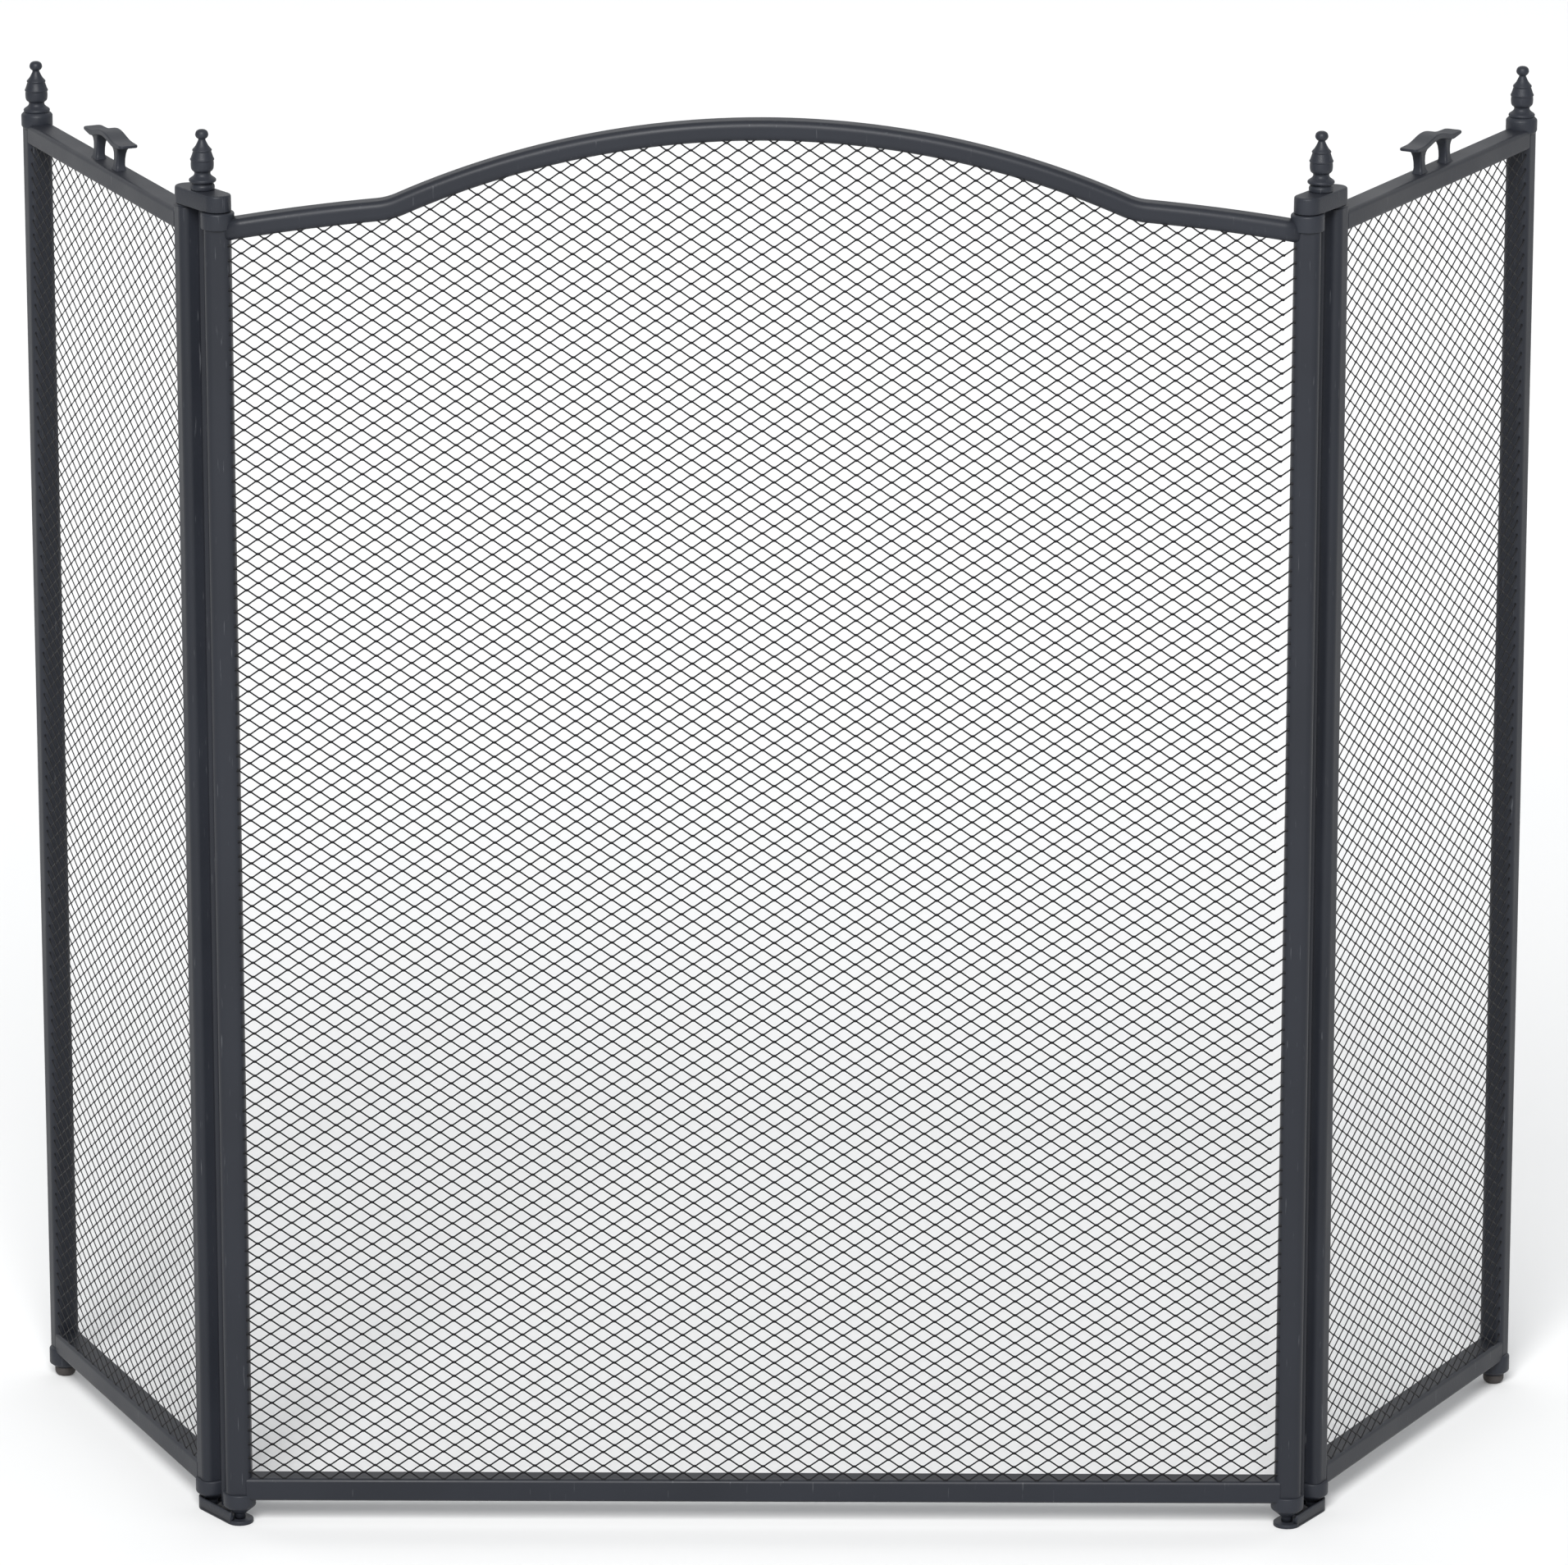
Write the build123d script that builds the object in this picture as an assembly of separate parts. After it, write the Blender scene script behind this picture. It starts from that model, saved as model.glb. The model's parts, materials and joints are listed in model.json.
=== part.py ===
"""Folding three-panel fireplace screen: arched centre panel, two hinge links, two mesh wings.

Millimetres, +Z up, floor at z = 0. The origin is the centre of the footprint. The front faces -Y
and the wings fold back towards +Y. Each wing turns on its inner stile, each link on the centre stile.
"""
import math
import os

from build123d import *

# ---- tube stock -------------------------------------------------------------------------------
STILE = 14.5          # outside of the rounded square upright tube
STILE_R = 4.5         # its corner radius
RAIL_H = 11.25        # height of the arched rail and of the top rails
RAIL_R = 3.8          # corner radius of the arched rail
BASE_RAIL_H = 13.2    # height of the bottom rails
LEVEL_R = 2.2         # corner radius of all straight rails
WALL = 1.0            # wall thickness of all tubes

# ---- centre panel -----------------------------------------------------------------------------
CLEAR_W = 570.0       # clear width between the centre stiles
PIN_X = CLEAR_W / 2 + STILE / 2
STILE_FOOT = 18.0     # underside of every upright tube
CENTER_STILE_TOP = 739.6
BOTTOM_RAIL_Z = 14.6  # underside of the bottom rails
SHOULDER_TOP = 745.0  # top of the rails where they meet the stiles
KINK_X = 200.0        # the arch springs from the shoulders here
KINK_TOP = 756.0
CROWN_TOP = 800.0
SHOULDER_R = 1090.0   # radius of the shallow shoulders
FILLET_R = 40.0       # radius of the tight bend under the arch

# ---- mesh -------------------------------------------------------------------------------------
MESH_T = 0.8          # thickness of the flattened expanded metal
MESH_Y = -6.0         # its plane, towards the front face of the tubes
MESH_TUCK = 2.0       # depth that the mesh edge reaches into the tubes

# ---- pivots -----------------------------------------------------------------------------------
LINK_L = 28.0         # pin to pin distance of a hinge link
COLLAR_R = 9.15       # round collars on the square tubes
COLLAR_H = 9.0
SPIGOT_R = 6.2        # plug that fills the tube end
SPIGOT_L = 14.0
PIN_R = 3.1           # upper pivot pins
LOWER_PIN_R = 2.2     # lower pivot pins
RUN_GAP = 0.06        # radial running clearance of the pins
CAP_Z0 = 749.0        # underside of the hinge cap
CAP_Z1 = 758.2        # top of the hinge cap
CAP_R = 7.6           # end radius of the cap
PIN_TOP = 755.0       # top of the upper pivot pins
PLATE_R = 7.6         # end radius of the link plate
PLATE_T = 2.2         # thickness of its floor
LEDGE_T = 2.9         # width of the ledge inside its rim
LEDGE_TOP = 5.0
RIM_T = 1.4           # thickness of the rim above the ledge
RIM_TOP = 7.2
CUT_X = -1.5          # the rim stops this far from the centre pin, on its free side
ROD_R = 2.5           # tie rod, M5
ROD_BOTTOM = 0.4
FINIAL_THREAD = 9.0   # depth of the thread in the finial
NUT_AF = 8.0
NUT_H = 4.0

# ---- wings ------------------------------------------------------------------------------------
WING_L = 241.0        # inner pin to outer stile axis
WING_STILE_TOP = 747.2
OUTER_STILE_TOP = 742.0
OUTER_COLLAR_R = 8.8
OUTER_COLLAR_TOP = 751.5
FOOT_COLLAR_R = 9.05
FOOT_PAD_R = 6.0
HANDLE_OFF = 4.0      # the handle sits this far outward of the middle of the wing
HANDLE_LEN = 59.0
HANDLE_W = 11.0
POST_X = 16.0         # half distance between the handle posts
POST_FOOT = (7.5, 5.8)   # post section at the rail, along and across it
POST_HEAD = (8.5, 6.6)   # post section under the grip
POST_H = 14.0
HANDLE_LEAN = 1.2     # the grip stands this far back from the middle of the rail
SCREW_R = 1.5
SCREW_HEAD_R = 2.4

# ---- folded position of the model at rest, degrees ----------------------------------------------
LINK_ANGLE = {"left": 53.0, "right": 58.0}
WING_ANGLE = {"left": 65.3, "right": 61.4}
SIGN = {"left": -1, "right": 1}

os.makedirs("parts", exist_ok=True)


def direction(side, angle):
    """Unit vector of something folded back by this angle from the panel plane."""
    a = math.radians(angle)
    return SIGN[side] * math.cos(a), math.sin(a)


def pin_point(side):
    """Axis of the wing pivot, in the frame of the centre panel."""
    ux, uy = direction(side, LINK_ANGLE[side])
    return SIGN[side] * PIN_X + LINK_L * ux, LINK_L * uy


def outer_point(side):
    """Axis of the outer stile, in the frame of the centre panel."""
    px, py = pin_point(side)
    ux, uy = direction(side, WING_ANGLE[side])
    return px + WING_L * ux, py + WING_L * uy


# The centre panel is drawn around its own middle, then everything moves to the footprint's centre.
X_RIGHT = outer_point("right")[0] + FOOT_COLLAR_R
X_LEFT = outer_point("left")[0] - FOOT_COLLAR_R
Y_BACK = max(outer_point("left")[1], outer_point("right")[1]) + FOOT_COLLAR_R
Y_FRONT = -COLLAR_R
ORIGIN = Pos(-(X_LEFT + X_RIGHT) / 2, -(Y_FRONT + Y_BACK) / 2, 0)


def save(node, shape, place=None):
    """Move a piece to its place in the object and write it."""
    placed = ORIGIN * shape if place is None else ORIGIN * place * shape
    placed.label = node
    export_step(placed, f"parts/{node}.step")


def handed(side, shape):
    """Pieces of links and wings are drawn for the right side and mirrored for the left."""
    return shape if side == "right" else mirror(shape, about=Plane.YZ)


def link_place(side):
    return Pos(SIGN[side] * PIN_X, 0, 0) * Rot(0, 0, SIGN[side] * LINK_ANGLE[side])


def wing_place(side):
    px, py = pin_point(side)
    return Pos(px, py, 0) * Rot(0, 0, SIGN[side] * WING_ANGLE[side])


def disc(radius, z0, z1, x=0.0):
    """Upright cylinder between two heights."""
    return Pos(x, 0, z0) * extrude(Circle(radius), z1 - z0)


def turned(points, x=0.0):
    """Solid of revolution about the upright axis, from (radius, height) points."""
    outline = [(0, points[0][1])] + points + [(0, points[-1][1])]
    face = make_face(Plane.XZ * Polyline(*outline, close=True))
    return Pos(x, 0, 0) * revolve(face, Axis.Z)


def tube_face(width, height, corner):
    outer = RectangleRounded(width, height, corner)
    return outer - RectangleRounded(width - 2 * WALL, height - 2 * WALL, corner - WALL)


def upright(x, z0, z1):
    """Rounded square tube that stands at x."""
    return Pos(x, 0, z0) * extrude(tube_face(STILE, STILE, STILE_R), z1 - z0)


def upright_envelope(x):
    return Pos(x, 0, 0) * extrude(RectangleRounded(STILE, STILE, STILE_R), CROWN_TOP)


def level_rail(x0, x1, z0, height):
    """Straight rail tube between two uprights, coped to their rounded faces."""
    profile = Plane(origin=(x0, 0, z0 + height / 2), x_dir=(0, 1, 0), z_dir=(1, 0, 0))
    rail = extrude(profile * tube_face(STILE, height, LEVEL_R), x1 - x0)
    return rail - upright_envelope(x0) - upright_envelope(x1)


def rail_block(x0, x1, z0, height):
    """Full section of a straight rail, used to notch what it passes through."""
    return Pos((x0 + x1) / 2, 0, z0 + height / 2) * Box(x1 - x0, STILE + 1, height + 0.02)


# ---- arched path --------------------------------------------------------------------------------
HALF = RAIL_H / 2
CROWN_Z = CROWN_TOP - HALF
KINK_Z = KINK_TOP - HALF
END_Z = SHOULDER_TOP - HALF
RISE = CROWN_Z - KINK_Z
CROWN_R = (KINK_X ** 2 + RISE ** 2) / (2 * RISE)
CROWN_C = (0.0, CROWN_Z - CROWN_R)


def circle_meet(c0, r0, c1, r1, upper):
    """Crossing of two circles; upper picks the higher one."""
    dx, dz = c1[0] - c0[0], c1[1] - c0[1]
    d = math.hypot(dx, dz)
    a = (r0 ** 2 - r1 ** 2 + d ** 2) / (2 * d)
    h = math.sqrt(r0 ** 2 - a ** 2)
    ends = []
    for s in (1, -1):
        ends.append((c0[0] + (a * dx - s * h * dz) / d, c0[1] + (a * dz + s * h * dx) / d))
    ends.sort(key=lambda p: p[1])
    return ends[1] if upper else ends[0]


SHOULDER_C = circle_meet((KINK_X, KINK_Z), SHOULDER_R, (CLEAR_W / 2, END_Z), SHOULDER_R, False)
FILLET_C = circle_meet(CROWN_C, CROWN_R + FILLET_R, SHOULDER_C, SHOULDER_R + FILLET_R, True)


def toward(centre, point, radius):
    """Point at this radius from the centre, on the way to another point."""
    dx, dz = point[0] - centre[0], point[1] - centre[1]
    d = math.hypot(dx, dz)
    return centre[0] + dx * radius / d, centre[1] + dz * radius / d


def arch_stations(offset, x_end):
    """Ends and middles of the arcs of the right half of the arch, offset upward from its centreline."""
    crown_r, fillet_r, shoulder_r = CROWN_R + offset, FILLET_R - offset, SHOULDER_R + offset
    top = (0.0, CROWN_C[1] + crown_r)
    bend_in = toward(CROWN_C, FILLET_C, crown_r)
    bend_out = toward(SHOULDER_C, FILLET_C, shoulder_r)
    end = (x_end, SHOULDER_C[1] + math.sqrt(shoulder_r ** 2 - (x_end - SHOULDER_C[0]) ** 2))
    crown_mid = toward(CROWN_C, (bend_in[0] / 2, (bend_in[1] + top[1]) / 2), crown_r)
    bend_mid = toward(FILLET_C, ((bend_in[0] + bend_out[0]) / 2, (bend_in[1] + bend_out[1]) / 2), fillet_r)
    shoulder_mid = toward(SHOULDER_C, ((bend_out[0] + end[0]) / 2, (bend_out[1] + end[1]) / 2), shoulder_r)
    return top, crown_mid, bend_in, bend_mid, bend_out, shoulder_mid, end


def arch_edges(offset, x_end):
    """The whole arch as five arcs from left to right."""
    top, crown_mid, bend_in, bend_mid, bend_out, shoulder_mid, end = arch_stations(offset, x_end)

    def flip(p):
        return -p[0], p[1]

    arcs = [(flip(end), flip(shoulder_mid), flip(bend_out)), (flip(bend_out), flip(bend_mid), flip(bend_in)),
            (flip(bend_in), top, bend_in), (bend_in, bend_mid, bend_out), (bend_out, shoulder_mid, end)]
    return [Edge.make_three_point_arc(*[Vector(x, 0, z) for x, z in arc]) for arc in arcs]


# ---- centre panel -------------------------------------------------------------------------------
def center_mesh():
    """Flat slab of the expanded metal, with its edge tucked into the tubes."""
    x = CLEAR_W / 2 + MESH_TUCK
    z = BOTTOM_RAIL_Z + BASE_RAIL_H - MESH_TUCK
    top = arch_edges(MESH_TUCK - HALF, x)
    left, right = top[0] @ 0, top[-1] @ 1
    sides = [Edge.make_line(right, Vector(x, 0, z)), Edge.make_line(Vector(x, 0, z), Vector(-x, 0, z)),
             Edge.make_line(Vector(-x, 0, z), left)]
    face = Face(Wire(top + sides))
    slab = extrude(face, MESH_T / 2, dir=(0, 1, 0), both=True)
    return Pos(0, MESH_Y, 0) * slab


def arched_rail():
    path = Wire(arch_edges(0.0, PIN_X))
    start = Plane(origin=path @ 0, x_dir=(0, 1, 0), z_dir=path % 0)
    outer = sweep(start * RectangleRounded(STILE, RAIL_H, RAIL_R), path=path)
    inner = sweep(start * RectangleRounded(STILE - 2 * WALL, RAIL_H - 2 * WALL, RAIL_R - WALL), path=path)
    return outer - inner - upright_envelope(-PIN_X) - upright_envelope(PIN_X), outer


def lower_plug(x):
    """Collar, cone, neck and lower pivot pin, with a spigot up into the tube."""
    cone_top, cone_foot, neck_foot = 10.3, 5.5, PLATE_T + 0.4
    return turned([(LOWER_PIN_R, 0.5), (LOWER_PIN_R, neck_foot), (3.2, neck_foot), (3.2, cone_foot),
                   (4.0, cone_foot), (COLLAR_R, cone_top), (COLLAR_R, STILE_FOOT), (SPIGOT_R, STILE_FOOT),
                   (SPIGOT_R, STILE_FOOT + SPIGOT_L)], x)


mesh = center_mesh()
arch, arch_solid = arched_rail()
rail = level_rail(-PIN_X, PIN_X, BOTTOM_RAIL_Z, BASE_RAIL_H)
notch = rail_block(-PIN_X, PIN_X, BOTTOM_RAIL_Z, BASE_RAIL_H)
save("center_mesh", mesh)
save("arched_top_rail", arch - mesh)
save("center_bottom_rail", rail - mesh)
for side in ("left", "right"):
    x = SIGN[side] * PIN_X
    top_z = CENTER_STILE_TOP
    collar = turned([(SPIGOT_R, top_z - SPIGOT_L), (SPIGOT_R, top_z), (COLLAR_R, top_z),
                     (COLLAR_R, top_z + COLLAR_H - 0.6), (COLLAR_R - 0.6, top_z + COLLAR_H),
                     (PIN_R, top_z + COLLAR_H), (PIN_R, PIN_TOP)], x)
    save(f"center_{side}_stile", upright(x, STILE_FOOT, top_z) - mesh)
    save(f"center_{side}_top_collar", collar - (arch_solid - upright_envelope(x)))
    save(f"center_{side}_bottom_plug", lower_plug(x) - (notch - upright_envelope(x)))


# ---- finial profile, heights above the face that it stands on ------------------------------------
FINIAL_BASE = [(6.2, 0.0), (6.5, 0.8), (6.5, 2.2), (5.4, 3.4)]
FINIAL_BODY = [(7.1, 5.2), (7.1, 6.0), (5.4, 7.6), (4.5, 8.8), (4.7, 10.4), (6.0, 12.6), (6.1, 16.4),
               (6.2, 17.4), (5.3, 18.2), (4.7, 21.8), (4.8, 22.6), (3.6, 23.6), (2.1, 27.0), (2.2, 27.6),
               (3.2, 28.6), (3.55, 29.9), (3.2, 31.4), (2.1, 32.5), (0.6, 33.0)]


def finial(z0, with_base):
    """Turned finial with a threaded hole, or with a stud where it screws into a collar."""
    if with_base:
        body = turned([(r, z0 + h) for r, h in FINIAL_BASE + FINIAL_BODY])
        return body - disc(ROD_R, z0, z0 + FINIAL_THREAD + 0.5)
    foot = FINIAL_BODY[0][1]
    body = turned([(r, z0 + h - foot) for r, h in FINIAL_BODY])
    return body + disc(ROD_R, z0 - 6.0, z0)


# ---- hinge links: pieces drawn with the centre pin at x = 0 and the wing pin at x = LINK_L --------
def stadium(radius):
    return Pos(LINK_L / 2, 0) * SlotCenterToCenter(LINK_L, 2 * radius)


def hinge_cap():
    body = Pos(0, 0, CAP_Z0) * extrude(stadium(CAP_R), CAP_Z1 - CAP_Z0)
    body = fillet(body.faces().sort_by(Axis.Z)[-1].edges(), 0.9)
    for x in (0.0, LINK_L):
        body -= disc(PIN_R + RUN_GAP, CAP_Z0 - 1, PIN_TOP + 0.4, x)
    return body - disc(ROD_R, CAP_Z0 - 1, CAP_Z1 + 1, LINK_L / 2)


def link_plate():
    """Floor plate, with a stepped rim along the front and round the wing end."""
    ledge = extrude(stadium(PLATE_R) - stadium(PLATE_R - LEDGE_T), LEDGE_TOP)
    rim = extrude(stadium(PLATE_R) - stadium(PLATE_R - RIM_T), RIM_TOP)
    open_side = Pos(CUT_X - 20, -20, 0) * Box(40, 80, 40, align=(Align.CENTER, Align.MIN, Align.CENTER))
    open_back = Pos(LINK_L - 40, 0, 0) * Box(80, 40, 40, align=(Align.CENTER, Align.MIN, Align.CENTER))
    plate = extrude(stadium(PLATE_R), PLATE_T) + (ledge + rim - open_side - open_back)
    for x in (0.0, LINK_L):
        plate -= disc(LOWER_PIN_R + RUN_GAP, -1, PLATE_T + 1, x)
    return plate - disc(ROD_R, -1, PLATE_T + 1, LINK_L / 2)


def rod_nut():
    hexagon = Pos(LINK_L / 2, 0, PLATE_T) * extrude(RegularPolygon(NUT_AF / 2, 6, major_radius=False), NUT_H)
    return hexagon - disc(ROD_R, 0, PLATE_T + NUT_H + 1, LINK_L / 2)


for side in ("left", "right"):
    place = link_place(side)
    save(f"{side}_hinge_cap", handed(side, hinge_cap()), place)
    save(f"{side}_hinge_finial", handed(side, Pos(LINK_L / 2, 0, 0) * finial(CAP_Z1, True)), place)
    save(f"{side}_tie_rod", handed(side, disc(ROD_R, ROD_BOTTOM, CAP_Z1 + FINIAL_THREAD, LINK_L / 2)), place)
    save(f"{side}_link_plate", handed(side, link_plate()), place)
    save(f"{side}_rod_nut", handed(side, rod_nut()), place)


# ---- wings: pieces drawn with the inner pin at x = 0 and the outer stile at x = WING_L ------------
WING_RAIL_Z = SHOULDER_TOP - RAIL_H
HANDLE_X = WING_L / 2 + HANDLE_OFF


def wing_mesh():
    z0 = BOTTOM_RAIL_Z + BASE_RAIL_H - MESH_TUCK
    z1 = WING_RAIL_Z + MESH_TUCK
    width = WING_L - STILE + 2 * MESH_TUCK
    return Pos(WING_L / 2, MESH_Y, (z0 + z1) / 2) * Box(width, MESH_T, z1 - z0)


def handle():
    """Bow handle: two posts that lean back, and a humped grip with flat tips."""
    z0 = SHOULDER_TOP
    grip_z = z0 + POST_H
    tip, knee = HANDLE_LEN / 2, POST_X + 4.0
    upper = [Line((-tip, grip_z + 1.8), (-knee, grip_z + 1.8)),
             ThreePointArc((-knee, grip_z + 1.8), (0, grip_z + 5.0), (knee, grip_z + 1.8)),
             Line((knee, grip_z + 1.8), (tip, grip_z + 1.8))]
    lower = [Line((tip, grip_z + 1.8), (tip, grip_z)),
             Line((tip, grip_z), (knee, grip_z - 0.8)),
             ThreePointArc((knee, grip_z - 0.8), (0, grip_z + 2.2), (-knee, grip_z - 0.8)),
             Line((-knee, grip_z - 0.8), (-tip, grip_z)),
             Line((-tip, grip_z), (-tip, grip_z + 1.8))]
    outline = Pos(0, HANDLE_LEAN, 0) * (Plane.XZ * make_face(upper + lower))
    body = extrude(outline, HANDLE_W / 2, both=True)
    body = fillet(body.edges().filter_by(Axis.Z), 2.0)
    for x in (-POST_X, POST_X):
        foot = Pos(x, 0, z0) * Rectangle(*POST_FOOT)
        head = Pos(x, HANDLE_LEAN, grip_z + 0.6) * Rectangle(*POST_HEAD)
        body += loft([foot, head])
    for x in (-POST_X, POST_X):
        body -= disc(SCREW_R, z0 - 1, z0 + 9.0, x)
    return Pos(HANDLE_X, 0, 0) * body


def handle_screws():
    """Two screws up through the rail into the handle posts."""
    z0 = WING_RAIL_Z
    one = disc(SCREW_HEAD_R, z0 - 1.6, z0) + disc(SCREW_R, z0, SHOULDER_TOP + 8.0)
    return [Pos(HANDLE_X + s * POST_X, 0, 0) * one for s in (-1, 1)]


def outer_collar():
    top = OUTER_STILE_TOP
    body = turned([(SPIGOT_R, top - SPIGOT_L), (SPIGOT_R, top), (7.7, top), (OUTER_COLLAR_R, top + 1.8),
                   (OUTER_COLLAR_R, OUTER_COLLAR_TOP - 0.5), (OUTER_COLLAR_R - 0.5, OUTER_COLLAR_TOP)], WING_L)
    return body - disc(ROD_R, OUTER_COLLAR_TOP - 6.5, OUTER_COLLAR_TOP + 1, WING_L)


def foot_collar():
    body = turned([(FOOT_PAD_R, 5.5), (FOOT_COLLAR_R, 8.0), (FOOT_COLLAR_R, 16.5), (7.7, STILE_FOOT),
                   (SPIGOT_R, STILE_FOOT), (SPIGOT_R, STILE_FOOT + SPIGOT_L)], WING_L)
    return body - disc(2.5, 5.0, 13.0, WING_L)


def foot_pad():
    return turned([(3.6, 0.0), (4.6, 0.5), (FOOT_PAD_R, 2.4), (FOOT_PAD_R, 5.5), (2.5, 5.5), (2.5, 12.5)], WING_L)


def wing_top_plug():
    top = WING_STILE_TOP
    return turned([(SPIGOT_R, top - SPIGOT_L), (SPIGOT_R, top), (7.0, top), (7.0, top + 1.2),
                   (PIN_R, top + 1.2), (PIN_R, PIN_TOP)])


for side in ("left", "right"):
    place = wing_place(side)
    mesh = wing_mesh()
    upper_block = rail_block(0, WING_L, WING_RAIL_Z, RAIL_H) - upright_envelope(0) - upright_envelope(WING_L)
    lower_block = rail_block(0, WING_L, BOTTOM_RAIL_Z, BASE_RAIL_H) - upright_envelope(0) - upright_envelope(WING_L)
    screws = handle_screws()
    top_rail = level_rail(0, WING_L, WING_RAIL_Z, RAIL_H) - mesh
    for s in (-1, 1):
        top_rail -= disc(SCREW_R, WING_RAIL_Z - 1, SHOULDER_TOP + 1, HANDLE_X + s * POST_X)
    pieces = {
        "inner_stile": upright(0, STILE_FOOT, WING_STILE_TOP) - mesh,
        "outer_stile": upright(WING_L, STILE_FOOT, OUTER_STILE_TOP) - mesh,
        "top_rail": top_rail,
        "bottom_rail": level_rail(0, WING_L, BOTTOM_RAIL_Z, BASE_RAIL_H) - mesh,
        "mesh": mesh,
        "top_plug": wing_top_plug(),
        "bottom_plug": lower_plug(0) - lower_block,
        "outer_collar": outer_collar() - upper_block,
        "finial": Pos(WING_L, 0, 0) * finial(OUTER_COLLAR_TOP, False),
        "foot_collar": foot_collar() - lower_block,
        "foot_pad": foot_pad(),
        "handle": handle(),
    }
    for name, shape in pieces.items():
        save(f"{side}_wing_{name}", handed(side, shape), place)
    group = Compound(children=[ORIGIN * place * handed(side, one) for one in screws])
    group.label = f"{side}_wing_handle_screws"
    export_step(group, f"parts/{side}_wing_handle_screws.step")
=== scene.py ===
"""Folding fireplace screen: expanded mesh, tubes, castings and finishes over the fixed frame."""
import json
import math

import bpy
import numpy as np
from mathutils import Matrix, Vector


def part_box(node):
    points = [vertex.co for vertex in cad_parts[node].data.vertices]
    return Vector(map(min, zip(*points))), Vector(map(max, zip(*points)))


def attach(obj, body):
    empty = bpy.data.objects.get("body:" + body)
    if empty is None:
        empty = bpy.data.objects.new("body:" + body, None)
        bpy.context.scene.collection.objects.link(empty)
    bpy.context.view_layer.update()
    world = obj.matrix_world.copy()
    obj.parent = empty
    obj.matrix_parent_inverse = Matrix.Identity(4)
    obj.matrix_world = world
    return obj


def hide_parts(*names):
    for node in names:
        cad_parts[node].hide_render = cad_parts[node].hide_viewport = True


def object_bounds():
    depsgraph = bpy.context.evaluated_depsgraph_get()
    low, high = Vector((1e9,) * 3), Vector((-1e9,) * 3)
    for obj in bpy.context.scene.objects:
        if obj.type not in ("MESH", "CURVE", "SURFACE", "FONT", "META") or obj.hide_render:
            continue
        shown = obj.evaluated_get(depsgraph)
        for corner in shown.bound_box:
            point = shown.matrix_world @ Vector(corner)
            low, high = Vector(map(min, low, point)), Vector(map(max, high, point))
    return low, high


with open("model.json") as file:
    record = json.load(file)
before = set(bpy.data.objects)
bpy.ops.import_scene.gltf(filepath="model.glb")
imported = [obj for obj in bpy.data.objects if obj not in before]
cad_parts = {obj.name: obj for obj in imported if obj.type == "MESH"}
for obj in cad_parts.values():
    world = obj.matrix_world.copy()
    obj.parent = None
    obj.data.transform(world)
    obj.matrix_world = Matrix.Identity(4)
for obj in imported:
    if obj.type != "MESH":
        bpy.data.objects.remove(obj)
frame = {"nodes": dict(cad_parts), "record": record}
cad_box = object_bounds()
bpy.context.scene.view_settings.view_transform = "Standard"

MM = 0.001
SIDES = ("left", "right")
JOINTS = {j["name"]: j for j in frame["record"]["behaviour"]["joints"]}


# ---- places, read from the frame ---------------------------------------------------------------
def middle(node):
    """Centre of a node's box."""
    low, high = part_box(node)
    return (low + high) / 2


def upright_frame(origin, toward):
    """Matrix of a local frame that stands at origin, with +x towards a point and +z up."""
    along = Vector((toward[0] - origin[0], toward[1] - origin[1], 0)).normalized()
    across = Vector((0, 0, 1)).cross(along)
    turn = Matrix((along, across, Vector((0, 0, 1)))).transposed().to_4x4()
    return Matrix.Translation(Vector((origin[0], origin[1], 0))) @ turn


PIN = {s: Vector(JOINTS[f"{s}_link_turn"]["pos_m"]) for s in SIDES}
WING_PIN = {s: Vector(JOINTS[f"{s}_wing_turn"]["pos_m"]) for s in SIDES}
FOOT = {s: middle(f"{s}_wing_foot_pad") for s in SIDES}
LINK_FRAME = {s: upright_frame(PIN[s], WING_PIN[s]) for s in SIDES}
WING_FRAME = {s: upright_frame(WING_PIN[s], FOOT[s]) for s in SIDES}
CENTER_FRAME = upright_frame((PIN["left"] + PIN["right"]) / 2, PIN["right"])
LINK_L = (WING_PIN["right"] - PIN["right"]).xy.length
WING_L = (FOOT["right"] - WING_PIN["right"]).xy.length
HALF_W = (PIN["right"] - PIN["left"]).length / 2
# The room side of a local frame is -y for the right wing and the centre, and +y for the left wing.
ROOM = {"left": 1.0, "right": -1.0}

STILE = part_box("center_left_stile")[1].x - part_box("center_left_stile")[0].x
STILE_R, ARCH_RAIL_R, LEVEL_RAIL_R = 4.5 * MM, 3.8 * MM, 2.2 * MM
BOTTOM_RAIL = [v.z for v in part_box("center_bottom_rail")]
WING_RAIL = [v.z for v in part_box("right_wing_top_rail")]
RAIL_H = WING_RAIL[1] - WING_RAIL[0]
WELD_REACH = 3 * MM


# ---- surfaces ----------------------------------------------------------------------------------
def add_piece(name, points, faces, body, nodes, slot, place):
    """Make a mesh object from points in a local frame. It rides on a body and replaces CAD nodes."""
    points = np.asarray(points, float).reshape(-1, 3)
    m = np.array(place)
    world = points @ m[:3, :3].T + m[:3, 3]
    mesh = bpy.data.meshes.new(name)
    mesh.from_pydata(world.tolist(), [], [list(f) for f in faces])
    mesh.polygons.foreach_set("use_smooth", [True] * len(mesh.polygons))
    mesh.update()
    obj = bpy.data.objects.new(name, mesh)
    bpy.context.scene.collection.objects.link(obj)
    obj.data.materials.append(FINISH[slot])
    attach(obj, body)
    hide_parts(*nodes)


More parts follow.
